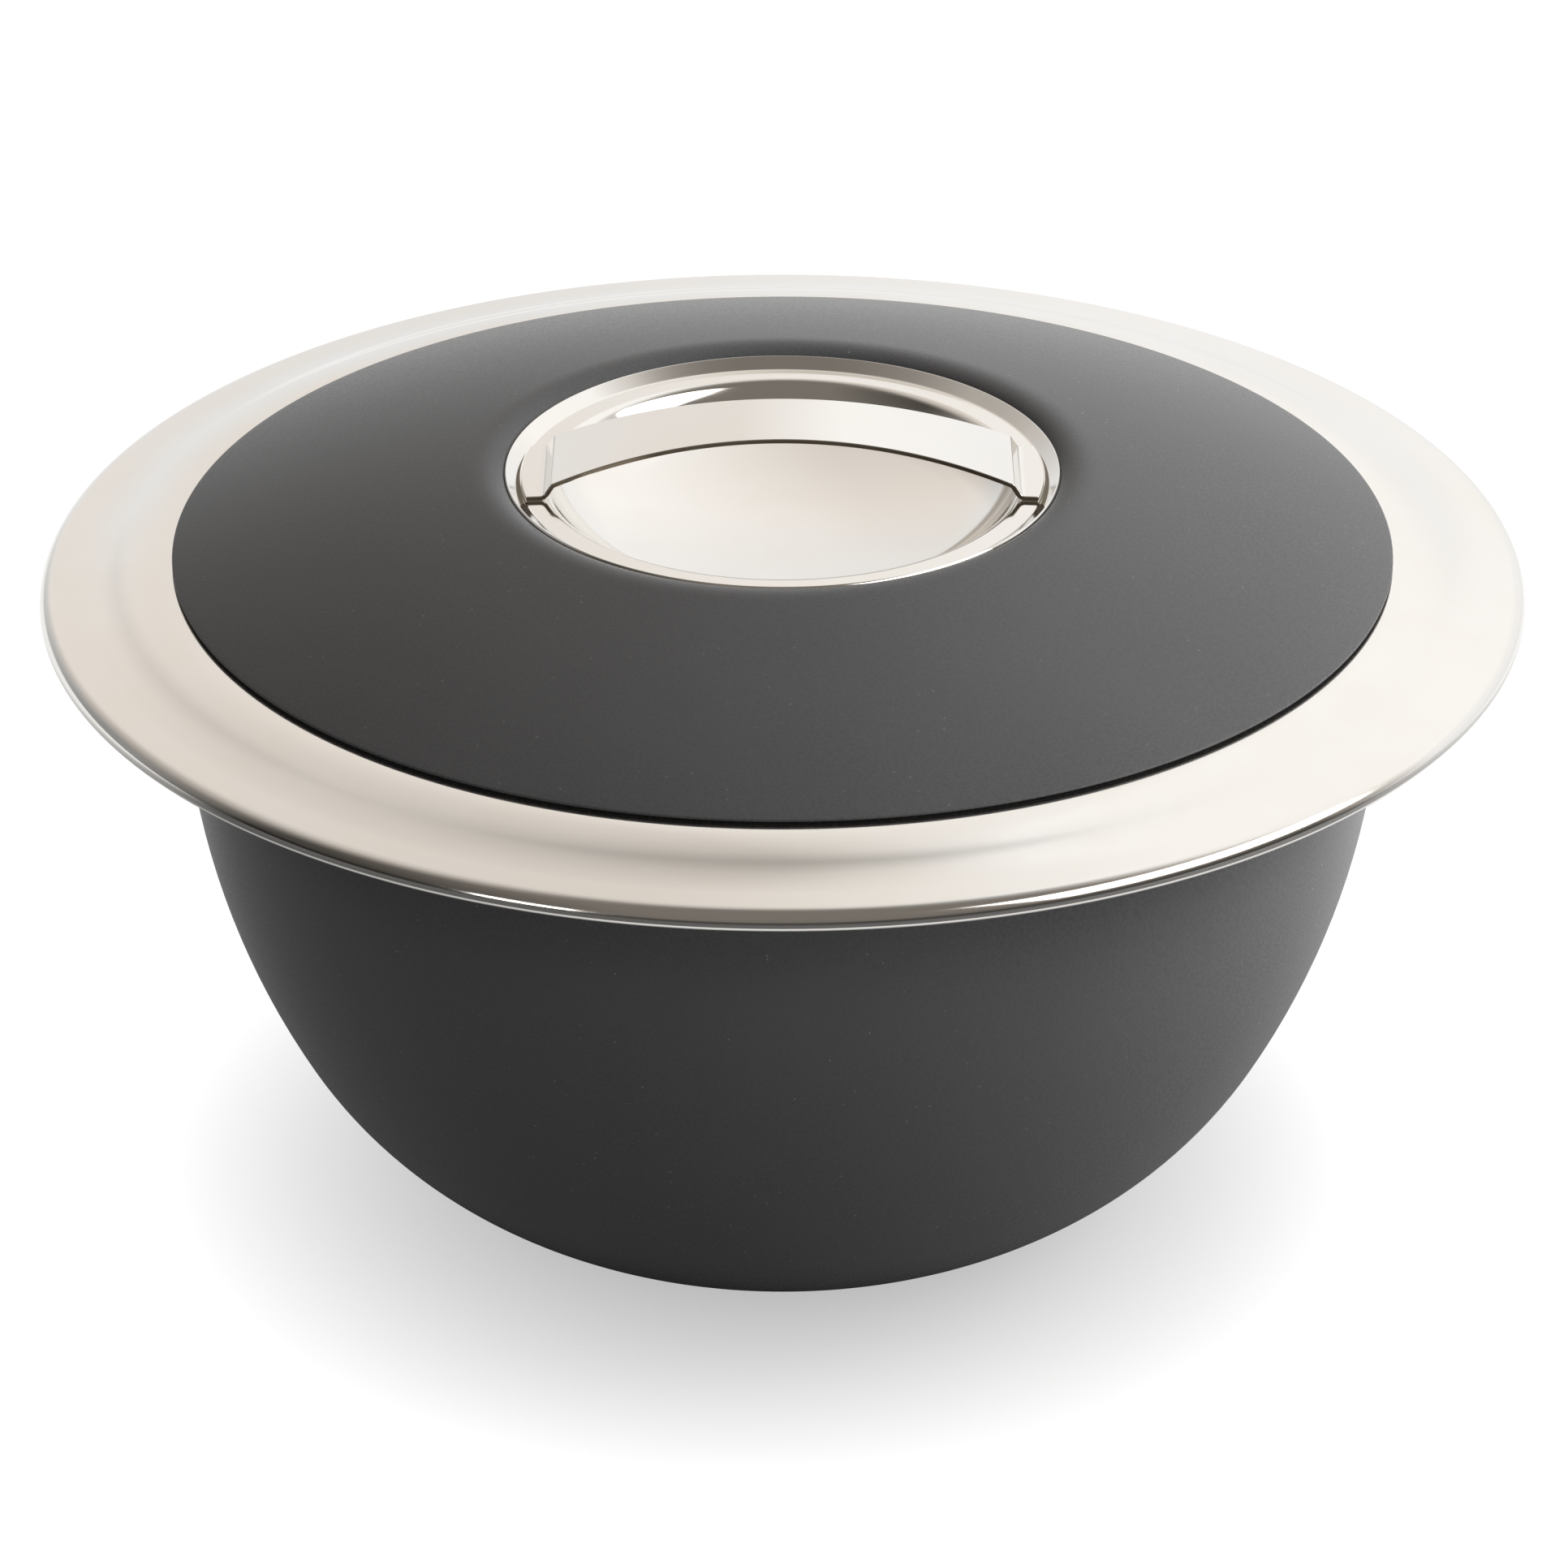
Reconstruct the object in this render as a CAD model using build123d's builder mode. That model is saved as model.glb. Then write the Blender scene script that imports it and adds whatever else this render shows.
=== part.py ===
from build123d import *
import os
from math import acos, asin, cos, degrees, radians, sin, sqrt, tan

# Insulated steel serving bowl with a lift-off lid, in millimetres, +Z up.
# The origin is the centre of the base, on the table. Most pieces are pressed
# sheet: each outline below is one face of the sheet, thickened to the other.

# Bowl
seat_height = 142.5
mouth_radius = 113.5
mouth_edge_radius = 3.0
bowl_sheet = 0.8
bowl_floor_height = 13.5
bowl_floor_corner = 60.0

# Flange: flat seat, soft swage down, shallow brim and rolled edge
rim_radius = 150.0
seat_margin = 1.4
swage_share = 0.437
ease_share = 0.37
swage_angle = 20.1
brim_slope = 5.0
roll_radius = 3.0
curl_inside = 0.3
curl_angle = 150.0

# Outer shell
wall_thickness = 8.9
shell_sheet = 0.8
shell_straight = 26.0
shell_upper_arc = 160.0
shell_arc_join = 28.0
base_radius = 52.4
base_ring_width = 10.0
base_recess_depth = 2.5
base_corner_radius = 1.5

# Plugged filling hole in the base
fill_hole_radius = 6.0
plug_head_radius = 9.0
plug_head_height = 1.2
plug_head_edge_radius = 0.6
plug_clearance = 0.2
plug_barb = 0.7
plug_barb_height = 2.0

# Seal between shell and flange
rim_seal_height = 1.2
rim_seal_leg = 0.7
rim_seal_depth = 4.0
seal_fit = 0.1

# Foam stands off the sheet by this much
foam_gap = 0.3

# Lid cover
lid_overlap = 9.7
cover_sheet = 0.5
cover_edge_inside = 0.1
cover_dome_radius = 362.6
cover_shoulder_radius = 7.0
hem_width = 5.0

# Lid liner
lid_plug_depth = 13.3
lid_plug_clearance = 1.1
lid_plug_corner = 5.0
liner_sheet = 0.6
liner_bend_radius = 1.0
liner_edge_gap = 2.0

# Finger dish
dish_radius = 55.7
dish_sheet = 0.6
lip_slope = 37.0
lip_gap = 0.05
lip_bearing = 1.2
land_margin = 0.3
ledge_drop = 2.05
ledge_width = 5.25
ledge_bend_margin = 0.2
dish_mouth_bend = 2.0
dish_wall_slope = 55.0
dish_wall_run = 0.5
dish_corner_radius = 17.0
dish_floor_radius = 240.0

# Handle strap
strap_thickness = 1.0
strap_middle_width = 20.0
strap_end_width = 24.8
strap_arch_angle = 21.9
strap_drop_angle = 57.0
strap_drop_height = 2.65
strap_bend_margin = 0.2
strap_heel_margin = 0.8
strap_foot_clearance = 0.1

# Clamp that holds the dish to the cover
clamp_count = 4
clamp_sheet = 1.0
clamp_gap = 3.5
clamp_ring_margin = 1.0
clamp_wall_margin = 0.4
stud_radius = 1.5
stud_end = 0.8
stud_hole_clearance = 0.2
nut_bore_clearance = 0.1
nut_across_flats = 5.5
nut_height = 2.4

# Worked out from the sizes above: bowl and flange
shell_radius = mouth_radius + wall_thickness
side_height = seat_height - shell_straight
lid_radius = mouth_radius + lid_overlap
seat_radius = lid_radius + seat_margin
curl_radius = bowl_sheet + curl_inside
slope_sin = sin(radians(brim_slope))
swage_sin = sin(radians(swage_angle))
roll_start = rim_radius - roll_radius * (1 - slope_sin)
brim = roll_start - seat_radius
swage_run = swage_share * brim
ease_run = ease_share * brim
swage_radius = swage_run / swage_sin
ease_radius = ease_run / (swage_sin - slope_sin)
swage_drop = swage_run * tan(radians(swage_angle / 2))
ease_drop = ease_run * tan(radians((swage_angle + brim_slope) / 2))
brim_drop = (brim - swage_run - ease_run) * tan(radians(brim_slope))
roll_start_height = seat_height - swage_drop - ease_drop - brim_drop
rim_height = roll_start_height - roll_radius * cos(radians(brim_slope))

# The sides are an upper arc, tangent to the straight top, and a lower arc
# tangent to it that ends at the base. The bowl's upper arc shares its centre.
arc_centre_radius = shell_radius - shell_upper_arc
join_cos = cos(radians(shell_arc_join))
join_sin = sin(radians(shell_arc_join))
join_run = arc_centre_radius + shell_upper_arc * join_cos - base_radius
join_rise = side_height - shell_upper_arc * join_sin
shell_lower_arc = (join_run**2 + join_rise**2) / (2 * (join_run * join_cos - join_rise * join_sin))
lower_centre_radius = arc_centre_radius + (shell_upper_arc - shell_lower_arc) * join_cos
lower_centre_height = side_height - (shell_upper_arc - shell_lower_arc) * join_sin
shell_base_angle = degrees(acos((base_radius - lower_centre_radius) / shell_lower_arc))
bowl_upper_arc = shell_upper_arc - wall_thickness
floor_centre_height = bowl_floor_height + bowl_floor_corner
floor_reach = bowl_upper_arc - bowl_floor_corner
bowl_join_angle = degrees(asin((side_height - floor_centre_height) / floor_reach))
floor_flat_radius = arc_centre_radius + floor_reach * cos(radians(bowl_join_angle))
shell_top = seat_height - bowl_sheet - rim_seal_height
recess_radius = base_radius - base_ring_width

# Lid: edge, dome, and a shoulder that turns down to the conical land under the dish's lip
cover_edge_radius = cover_sheet + cover_edge_inside
edge_centre_height = seat_height + cover_edge_radius
edge_centre_radius = lid_radius - cover_edge_radius
dome_angle = degrees(asin(edge_centre_radius / (cover_dome_radius - cover_edge_radius)))
dome_centre = edge_centre_height - (cover_dome_radius - cover_edge_radius) * cos(radians(dome_angle))
lip_sin = sin(radians(lip_slope))
lip_cos = cos(radians(lip_slope))
lip_tan = tan(radians(lip_slope))
land_radius = dish_radius + dish_sheet * lip_sin + land_margin
shoulder_centre_radius = land_radius + cover_shoulder_radius * lip_sin
shoulder_reach = cover_dome_radius - cover_shoulder_radius
shoulder_angle = degrees(asin(shoulder_centre_radius / shoulder_reach))
shoulder_centre_height = dome_centre + shoulder_reach * cos(radians(shoulder_angle))
dome_start_radius = cover_dome_radius * sin(radians(shoulder_angle))
land_top = shoulder_centre_height + cover_shoulder_radius * lip_cos
cover_hole_radius = dish_radius - lip_bearing
hole_height = land_top - (land_radius - cover_hole_radius) * lip_tan
lid_plug_radius = mouth_radius - lid_plug_clearance
lid_plug_bottom = seat_height - lid_plug_depth
flange_rest = seat_height + cover_sheet
liner_radius = edge_centre_radius - liner_edge_gap

# Dish: lip, ledge, wall and crowned floor
lip_height = land_top - (land_radius - dish_radius) * lip_tan + (dish_sheet + lip_gap) / lip_cos
ledge_bend = dish_sheet + ledge_bend_margin
ledge_height = lip_height - ledge_drop
ledge_outer_radius = dish_radius - ledge_drop / lip_tan
dish_mouth_radius = ledge_outer_radius - ledge_width
wall_cos = cos(radians(dish_wall_slope))
wall_sin = sin(radians(dish_wall_slope))
wall_length = dish_wall_run + dish_mouth_bend * tan(radians(dish_wall_slope / 2))
wall_foot_radius = dish_mouth_radius - wall_length * wall_cos
wall_foot_height = ledge_height - wall_length * wall_sin
corner_centre_radius = wall_foot_radius - dish_corner_radius * wall_sin
corner_centre_height = wall_foot_height + dish_corner_radius * wall_cos
floor_angle = degrees(asin(corner_centre_radius / (dish_floor_radius - dish_corner_radius)))
floor_centre = corner_centre_height + (dish_floor_radius - dish_corner_radius) * cos(radians(floor_angle))

# Clamp: an angle ring hung from studs under the ledge, pulled against the land
ledge_underside = ledge_height - dish_sheet
clamp_leg_top = ledge_underside - clamp_gap
clamp_leg_bottom = clamp_leg_top - clamp_sheet
clamp_wall_radius = cover_hole_radius + clamp_wall_margin
clamp_top = hole_height + clamp_wall_margin * lip_tan - cover_sheet / lip_cos
stud_circle = (dish_mouth_radius + ledge_outer_radius) / 2
stud_bottom = clamp_leg_bottom - nut_height - stud_end
dish_corner_back = dish_corner_radius + dish_sheet
clamp_clear = sqrt(dish_corner_back**2 - (corner_centre_height - clamp_leg_top) ** 2)
clamp_inner_radius = corner_centre_radius + clamp_clear + clamp_ring_margin

# Strap: an arch, a short steep drop at each end and a flat foot on the ledge
arch_cos = cos(radians(strap_arch_angle))
arch_sin = sin(radians(strap_arch_angle))
drop_cos = cos(radians(strap_drop_angle))
drop_sin = sin(radians(strap_drop_angle))
strap_bend = strap_thickness + strap_bend_margin
bends_height = strap_bend * (arch_cos - drop_cos) + strap_bend * (1 - drop_cos)
drop_length = (strap_drop_height - bends_height) / drop_sin
drop_run = strap_bend * (2 * drop_sin - arch_sin) + drop_length * drop_cos
foot_start = dish_mouth_radius + strap_heel_margin
foot_radius = ledge_outer_radius - ledge_bend * tan(radians(lip_slope / 2)) - strap_foot_clearance
foot_top = ledge_height + strap_thickness
half_span = foot_start - drop_run
arch_radius = half_span / arch_sin
strap_top = foot_top + strap_drop_height + arch_radius * (1 - arch_cos)
foot_corner = sqrt(foot_radius**2 - (strap_end_width / 2) ** 2)

os.makedirs("parts", exist_ok=True)

# Polished bowl, drawn in one with its flange and rolled edge
with BuildPart() as inner_bowl:
    with BuildSketch(Plane.XZ):
        with BuildLine():
            Line((0, bowl_floor_height), (floor_flat_radius, bowl_floor_height))
            CenterArc(
                (floor_flat_radius, floor_centre_height),
                bowl_floor_corner,
                -90,
                90 - bowl_join_angle,
            )
            side = CenterArc(
                (arc_centre_radius, side_height), bowl_upper_arc, -bowl_join_angle, bowl_join_angle
            )
            Line(side @ 1, (mouth_radius, seat_height - mouth_edge_radius))
            edge = CenterArc(
                (mouth_radius + mouth_edge_radius, seat_height - mouth_edge_radius),
                mouth_edge_radius,
                180,
                -90,
            )
            Line(edge @ 1, (seat_radius, seat_height))
            swage = CenterArc((seat_radius, seat_height - swage_radius), swage_radius, 90, -swage_angle)
            ease = JernArc(swage @ 1, swage % 1, ease_radius, swage_angle - brim_slope)
            Line(ease @ 1, (roll_start, roll_start_height))
            CenterArc(
                (rim_radius - roll_radius, rim_height),
                roll_radius,
                90 - brim_slope,
                brim_slope - 90,
            )
            CenterArc((rim_radius - curl_radius, rim_height), curl_radius, 0, -curl_angle)
            offset(amount=bowl_sheet, side=Side.RIGHT)
        make_face()
    revolve(axis=Axis.Z)
inner_bowl.part.label = "inner_bowl"
export_step(inner_bowl.part, "parts/inner_bowl.step")

# Coated shell with a pressed base that stands on a flat ring
with BuildPart() as outer_shell:
    with BuildSketch(Plane.XZ):
        with BuildLine():
            FilletPolyline(
                (fill_hole_radius, base_recess_depth),
                (recess_radius - base_recess_depth, base_recess_depth),
                (recess_radius, 0),
                (base_radius, 0),
                radius=base_corner_radius,
            )
            CenterArc(
                (lower_centre_radius, lower_centre_height),
                shell_lower_arc,
                -shell_base_angle,
                shell_base_angle - shell_arc_join,
            )
            upper = CenterArc(
                (arc_centre_radius, side_height), shell_upper_arc, -shell_arc_join, shell_arc_join
            )
            Line(upper @ 1, (shell_radius, shell_top))
            offset(amount=shell_sheet, side=Side.LEFT)
        make_face()
    revolve(axis=Axis.Z)
outer_shell.part.label = "outer_shell"
export_step(outer_shell.part, "parts/outer_shell.step")

# Foam between bowl and shell, with a pocket over the plug
foam_in = bowl_sheet + foam_gap
foam_out = shell_sheet + foam_gap
foam_bottom = base_recess_depth + foam_out
foam_top = shell_top - rim_seal_depth - foam_gap
foam_arc = shell_lower_arc - foam_out
foam_arc_start = degrees(asin((lower_centre_height - foam_bottom) / foam_arc))
pocket_radius = fill_hole_radius + plug_barb + foam_gap
pocket_top = base_recess_depth + shell_sheet + plug_clearance + plug_barb_height + foam_gap
with BuildPart() as bowl_insulation:
    with BuildSketch(Plane.XZ):
        with BuildLine():
            lower = CenterArc(
                (lower_centre_radius, lower_centre_height),
                foam_arc,
                -foam_arc_start,
                foam_arc_start - shell_arc_join,
            )
            upper = CenterArc(
                (arc_centre_radius, side_height),
                shell_upper_arc - foam_out,
                -shell_arc_join,
                shell_arc_join,
            )
            side = CenterArc(
                (arc_centre_radius, side_height),
                bowl_upper_arc + foam_in,
                0,
                -bowl_join_angle,
            )
            Polyline(
                upper @ 1,
                (shell_radius - foam_out, foam_top),
                (mouth_radius + foam_in, foam_top),
                side @ 0,
            )
            corner = CenterArc(
                (floor_flat_radius, floor_centre_height),
                bowl_floor_corner + foam_in,
                -bowl_join_angle,
                bowl_join_angle - 90,
            )
            Polyline(
                corner @ 1,
                (0, bowl_floor_height - foam_in),
                (0, pocket_top),
                (pocket_radius, pocket_top),
                (pocket_radius, foam_bottom),
                lower @ 0,
            )
        make_face()
    revolve(axis=Axis.Z)
bowl_insulation.part.label = "bowl_insulation"
export_step(bowl_insulation.part, "parts/bowl_insulation.step")

# U-section seal on the shell's top edge, under the flange
seal_inner = shell_radius - shell_sheet - seal_fit
seal_outer = shell_radius + seal_fit
with BuildPart() as rim_gasket:
    with BuildSketch(Plane.XZ):
        with BuildLine():
            Polyline(
                (seal_inner - rim_seal_leg, shell_top - rim_seal_depth),
                (seal_inner, shell_top - rim_seal_depth),
                (seal_inner, shell_top),
                (seal_outer, shell_top),
                (seal_outer, shell_top - rim_seal_depth),
                (seal_outer + rim_seal_leg, shell_top - rim_seal_depth),
                (seal_outer + rim_seal_leg, shell_top + rim_seal_height),
                (seal_inner - rim_seal_leg, shell_top + rim_seal_height),
                close=True,
            )
        make_face()
    revolve(axis=Axis.Z)
rim_gasket.part.label = "rim_gasket"
export_step(rim_gasket.part, "parts/rim_gasket.step")

# Snap-in plug of the filling hole, its head clear of the table
plug_shank = fill_hole_radius - plug_clearance
barb_bottom = base_recess_depth + shell_sheet + plug_clearance
with BuildPart() as base_plug:
    with BuildSketch(Plane.XZ):
        with BuildLine():
            Polyline(
                (0, base_recess_depth - plug_head_height),
                (plug_head_radius, base_recess_depth - plug_head_height),
                (plug_head_radius, base_recess_depth),
                (plug_shank, base_recess_depth),
                (plug_shank, barb_bottom),
                (fill_hole_radius + plug_barb, barb_bottom),
                (plug_shank - plug_barb, barb_bottom + plug_barb_height),
                (0, barb_bottom + plug_barb_height),
                close=True,
            )
        make_face()
    revolve(axis=Axis.Z)
    fillet(base_plug.edges().sort_by(Axis.Z)[0], plug_head_edge_radius)
base_plug.part.label = "base_plug"
export_step(base_plug.part, "parts/base_plug.step")

# Coated lid cover: conical land round the hole, shoulder, dome, and a flat hem that lies on the seat
with BuildPart() as lid_cover:
    with BuildSketch(Plane.XZ):
        with BuildLine():
            Line((cover_hole_radius, hole_height), (land_radius, land_top))
            CenterArc(
                (shoulder_centre_radius, shoulder_centre_height),
                cover_shoulder_radius,
                90 + lip_slope,
                -lip_slope - shoulder_angle,
            )
            CenterArc(
                (0, dome_centre), cover_dome_radius, 90 - shoulder_angle, shoulder_angle - dome_angle
            )
            edge = CenterArc(
                (edge_centre_radius, edge_centre_height),
                cover_edge_radius,
                90 - dome_angle,
                dome_angle - 180,
            )
            Line(edge @ 1, (edge_centre_radius - hem_width, seat_height))
            offset(amount=cover_sheet, side=Side.RIGHT)
        make_face()
    revolve(axis=Axis.Z)
lid_cover.part.label = "lid_cover"
export_step(lid_cover.part, "parts/lid_cover.step")

# Liner pan: its side locates the lid in the mouth, its flange lies on the hem
with BuildPart() as lid_liner:
    with BuildSketch(Plane.XZ):
        with BuildLine():
            Line((0, lid_plug_bottom), (lid_plug_radius - lid_plug_corner, lid_plug_bottom))
            corner = CenterArc(
                (lid_plug_radius - lid_plug_corner, lid_plug_bottom + lid_plug_corner),
                lid_plug_corner,
                -90,
                90,
            )
            Line(corner @ 1, (lid_plug_radius, flange_rest - liner_bend_radius))
            bend = CenterArc(
                (lid_plug_radius + liner_bend_radius, flange_rest - liner_bend_radius),
                liner_bend_radius,
                180,
                -90,
            )
            Line(bend @ 1, (liner_radius, flange_rest))
            offset(amount=liner_sheet, side=Side.LEFT)
        make_face()
    revolve(axis=Axis.Z)
lid_liner.part.label = "lid_liner"
export_step(lid_liner.part, "parts/lid_liner.step")

# Foam in the lid, with a ring-shaped hollow for the clamp
lid_foam_sheet = liner_sheet + foam_gap
lid_foam_corner = lid_plug_corner - lid_foam_sheet
lid_foam_bottom = lid_plug_bottom + lid_foam_sheet
lid_foam_side = lid_plug_radius - lid_foam_sheet
lid_foam_shelf = flange_rest + lid_foam_sheet
lid_foam_rim = edge_centre_radius - hem_width
lid_foam_dome = cover_dome_radius - cover_sheet - foam_gap
lid_foam_crown = dish_floor_radius + dish_sheet + foam_gap
hollow_floor = stud_bottom - foam_gap
hollow_inner = sqrt(lid_foam_crown**2 - (floor_centre - hollow_floor) ** 2)
hollow_outer = dome_start_radius
lid_foam_start = degrees(acos(lid_foam_rim / lid_foam_dome))
lid_foam_end = degrees(acos(hollow_outer / lid_foam_dome))
with BuildPart() as lid_insulation:
    with BuildSketch(Plane.XZ):
        with BuildLine():
            corner = CenterArc(
                (lid_foam_side - lid_foam_corner, lid_foam_bottom + lid_foam_corner),
                lid_foam_corner,
                -90,
                90,
            )
            dome = CenterArc(
                (0, dome_centre),
                lid_foam_dome,
                lid_foam_start,
                lid_foam_end - lid_foam_start,
            )
            crown = CenterArc(
                (0, floor_centre),
                lid_foam_crown,
                -90,
                degrees(asin(hollow_inner / lid_foam_crown)),
            )
            Polyline(
                corner @ 1,
                (lid_foam_side, lid_foam_shelf),
                (lid_foam_rim, lid_foam_shelf),
                dome @ 0,
            )
            Polyline(dome @ 1, (hollow_outer, hollow_floor), crown @ 1)
            Polyline(crown @ 0, (0, lid_foam_bottom), corner @ 0)
        make_face()
    revolve(axis=Axis.Z)
lid_insulation.part.label = "lid_insulation"
export_step(lid_insulation.part, "parts/lid_insulation.step")

# Polished finger dish: crowned floor, steep wall, flat ledge and a sloped lip
with BuildPart() as handle_dish:
    with BuildSketch(Plane.XZ):
        with BuildLine():
            CenterArc((0, floor_centre), dish_floor_radius, -90, floor_angle)
            corner = CenterArc(
                (corner_centre_radius, corner_centre_height),
                dish_corner_radius,
                floor_angle - 90,
                dish_wall_slope - floor_angle,
            )
            FilletPolyline(
                corner @ 1,
                (dish_mouth_radius, ledge_height),
                (ledge_outer_radius, ledge_height),
                (dish_radius, lip_height),
                radius=(dish_mouth_bend, ledge_bend),
            )
            offset(amount=dish_sheet, side=Side.RIGHT)
        make_face()
    revolve(axis=Axis.Z)
handle_dish.part.label = "handle_dish"
export_step(handle_dish.part, "parts/handle_dish.step")

# Strap: the side view gives the bends, the plan view its waist and round feet
with BuildPart() as handle_strap:
    with BuildSketch(Plane.XZ):
        with BuildLine():
            arch = CenterArc((0, strap_top - arch_radius), arch_radius, 90, -strap_arch_angle)
            shoulder = JernArc(arch @ 1, arch % 1, strap_bend, strap_arch_angle - strap_drop_angle)
            drop = PolarLine(shoulder @ 1, drop_length, direction=shoulder % 1)
            heel = JernArc(drop @ 1, drop % 1, strap_bend, strap_drop_angle)
            Line(heel @ 1, (foot_radius + strap_thickness, foot_top))
            offset(amount=strap_thickness, side=Side.RIGHT)
        make_face()
        mirror(about=Plane.YZ)
    extrude(amount=strap_end_width, both=True)
    with BuildSketch():
        with BuildLine():
            waist = ThreePointArc(
                (-foot_corner, strap_end_width / 2),
                (0, strap_middle_width / 2),
                (foot_corner, strap_end_width / 2),
            )
            ThreePointArc(waist @ 1, (foot_radius, 0), (foot_corner, -strap_end_width / 2))
            mirror(waist, about=Plane.XZ)
            ThreePointArc(waist @ 0, (-foot_radius, 0), (-foot_corner, -strap_end_width / 2))
        make_face()
    extrude(amount=strap_top, mode=Mode.INTERSECT)
handle_strap.part.label = "handle_strap"
export_step(handle_strap.part, "parts/handle_strap.step")

# Clamp ring of angle section, with a hole for each stud
with BuildPart() as clamp_ring:
    with BuildSketch(Plane.XZ):
        with BuildLine():
            Polyline(
                (clamp_inner_radius, clamp_leg_bottom),
                (clamp_wall_radius + clamp_sheet, clamp_leg_bottom),
                (clamp_wall_radius + clamp_sheet, clamp_top),
                (clamp_wall_radius, clamp_top),
                (clamp_wall_radius, clamp_leg_top),
                (clamp_inner_radius, clamp_leg_top),
                close=True,
            )
        make_face()
    revolve(axis=Axis.Z)
    with Locations((0, 0, clamp_leg_top)):
        with PolarLocations(stud_circle, clamp_count, start_angle=180 / clamp_count):
            Hole(stud_radius + stud_hole_clearance, depth=clamp_sheet)
clamp_ring.part.label = "clamp_ring"
export_step(clamp_ring.part, "parts/clamp_ring.step")

# Studs welded under the ledge, between the strap's feet
with BuildPart() as clamp_studs:
    with BuildSketch(Plane.XY.offset(stud_bottom)):
        with PolarLocations(stud_circle, clamp_count, start_angle=180 / clamp_count):
            Circle(stud_radius)
    extrude(amount=ledge_underside - stud_bottom)
clamp_studs.part.label = "clamp_studs"
export_step(clamp_studs.part, "parts/clamp_studs.step")

# Nuts under the clamp ring
with BuildPart() as clamp_nuts:
    with BuildSketch(Plane.XY.offset(clamp_leg_bottom - nut_height)):
        with PolarLocations(stud_circle, clamp_count, start_angle=180 / clamp_count):
            RegularPolygon(nut_across_flats / 2, 6, major_radius=False)
            Circle(stud_radius + nut_bore_clearance, mode=Mode.SUBTRACT)
    extrude(amount=nut_height)
clamp_nuts.part.label = "clamp_nuts"
export_step(clamp_nuts.part, "parts/clamp_nuts.step")
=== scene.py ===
import math

import bpy
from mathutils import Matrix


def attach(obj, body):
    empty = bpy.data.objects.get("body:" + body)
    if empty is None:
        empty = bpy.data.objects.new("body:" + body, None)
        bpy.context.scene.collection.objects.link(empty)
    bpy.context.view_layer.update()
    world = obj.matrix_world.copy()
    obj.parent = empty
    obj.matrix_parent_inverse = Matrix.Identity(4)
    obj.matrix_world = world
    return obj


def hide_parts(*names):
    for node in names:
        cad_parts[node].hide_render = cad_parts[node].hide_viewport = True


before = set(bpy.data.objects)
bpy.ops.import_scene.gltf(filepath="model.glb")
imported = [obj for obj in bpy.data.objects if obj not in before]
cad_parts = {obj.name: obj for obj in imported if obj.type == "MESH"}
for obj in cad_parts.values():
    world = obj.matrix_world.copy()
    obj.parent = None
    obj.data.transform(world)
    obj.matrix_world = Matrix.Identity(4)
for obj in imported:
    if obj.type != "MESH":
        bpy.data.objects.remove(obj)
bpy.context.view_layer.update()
print("frame loaded:", len(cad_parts), "nodes")

mm = 0.001
cosDeg = lambda a: math.cos(math.radians(a))
sinDeg = lambda a: math.sin(math.radians(a))
tanDeg = lambda a: math.tan(math.radians(a))

# camera of the photograph, found from the ellipses of flange, lid and dish
photoCamera = {
    "distance": 1.25,  # from the point that it looks at
    "elevation": 27.62,  # degrees above the horizon
    "lookHeight": 0.0866,  # on the bowl's axis
    "sideStep": 0.0003,
    "lens": 138.7,
    "sensor": 36.0,
}


def makeCamera(look):
    data = bpy.data.cameras.new("photoCamera")
    data.lens = look["lens"]
    data.sensor_width = look["sensor"]
    camera = bpy.data.objects.new("photoCamera", data)
    back = look["distance"] * cosDeg(look["elevation"])
    up = look["distance"] * sinDeg(look["elevation"])
    camera.location = (look["sideStep"], -back, look["lookHeight"] + up)
    camera.rotation_euler = (math.radians(90 - look["elevation"]), 0, 0)
    bpy.context.scene.collection.objects.link(camera)
    bpy.context.scene.camera = camera


makeCamera(photoCamera)
print("camera placed")


# A sheet outline is a list of stations (radius, height, and the way to the sheet's other face).
def arcRun(radius, height, bend, start, sweep, step=2.5):
    count = max(3, math.ceil(abs(sweep) / step))
    side = 1 if sweep > 0 else -1
    run = []
    for i in range(count + 1):
        a = start + sweep * i / count
        out, up = cosDeg(a), sinDeg(a)
        run.append((radius + bend * out, height + bend * up, side * out, side * up))
    return run


def lineRun(start, end, margin=0.6, count=6):
    length = math.dist(start, end)
    along = ((end[0] - start[0]) / length, (end[1] - start[1]) / length)
    margin = min(margin, length / 4)  # rings close to the ends keep the flat flat
    places = [0, margin] + [margin + (length - 2 * margin) * i / count for i in range(1, count)]
    places += [length - margin, length]
    return [(start[0] + along[0] * p, start[1] + along[1] * p, along[1], -along[0]) for p in places]


def joinRuns(*runs):
    stations = []
    for run in runs:
        for s in run:
            if stations and math.dist(s[:2], stations[-1][:2]) < 1e-4:
                q = stations[-1]
                k = 1 + q[2] * s[2] + q[3] * s[3]  # a mitre where two runs meet at an angle
                stations[-1] = (q[0], q[1], (q[2] + s[2]) / k, (q[3] + s[3]) / k)
            else:
                stations.append(s)
    return stations


def roundedEnd(station, along, sheet, edge):
    # the sheet's cut end, with both of its edges eased
    r, z, nr, nz = station
    ar, az = along
    points = []
    for a in (0, 30, 60, 90):
        into = edge * (1 - cosDeg(a))
        back = edge * (1 - sinDeg(a))
        points.append((r + nr * into - ar * back, z + nz * into - az * back))
    for a in (0, 30, 60, 90):
        into = sheet - edge * (1 - sinDeg(a))
        back = edge * (1 - cosDeg(a))
        points.append((r + nr * into - ar * back, z + nz * into - az * back))
    return points


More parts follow.
